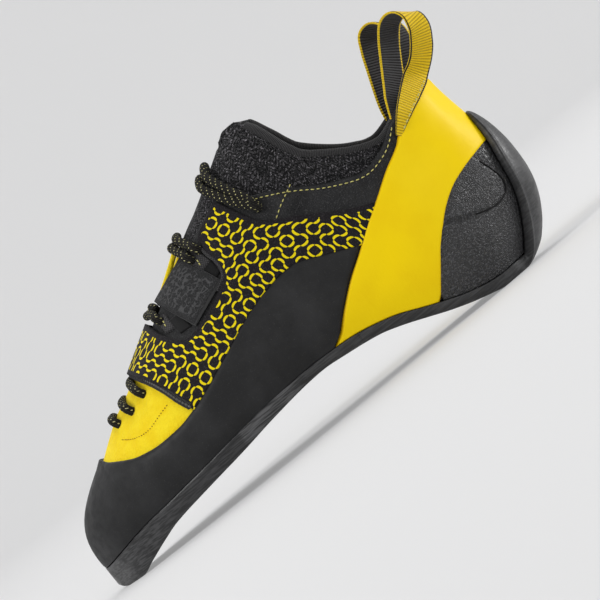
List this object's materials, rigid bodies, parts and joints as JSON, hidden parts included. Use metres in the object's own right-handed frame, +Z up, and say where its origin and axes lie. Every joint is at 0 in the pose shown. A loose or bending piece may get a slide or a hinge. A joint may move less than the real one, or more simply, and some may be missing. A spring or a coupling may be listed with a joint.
{
  "type": "climbing shoe",
  "caption": "Left climbing shoe with a hollow lasted upper, knitted collar, lacing, tensioned heel band, rubber rands and a split sole that arches down between toe and heel",
  "frame": {"origin": "middle of the heel's flat spot on the floor", "axes": "-X to the toe, -Y to the outer side of the foot, +Z up"},
  "size_m": [0.2548, 0.0907, 0.1247],
  "materials": {
    "leather": "black leather, yellow suede over the toe",
    "knit": "charcoal knit",
    "insole_board": "matt board",
    "sole_rubber": "smooth rubber with sanded edges",
    "rand_rubber": "matt rubber",
    "band_rubber": "yellow satin rubber",
    "printed_cloth": "black cloth with a yellow line print",
    "tab_cloth": "embossed synthetic",
    "lace": "round braided lace with pale flecks",
    "tape": "ribbed tape, yellow outside and black inside"
  },
  "bodies": {
    "root": {"upper": "leather", "tongue_collar": "knit", "insole": "insole_board", "front_outsole": "sole_rubber", "rear_outsole": "sole_rubber", "toe_rand": "rand_rubber", "heel_rand": "rand_rubber", "heel_band": "band_rubber", "harness": "printed_cloth", "lace_tab_outer": "tab_cloth", "lace_tab_inner": "tab_cloth", "lace_toe": "lace", "lace_middle": "lace", "lace_top": "lace", "pull_loop_outer": "tape", "pull_loop_inner": "tape"}
  },
  "joints": []
}
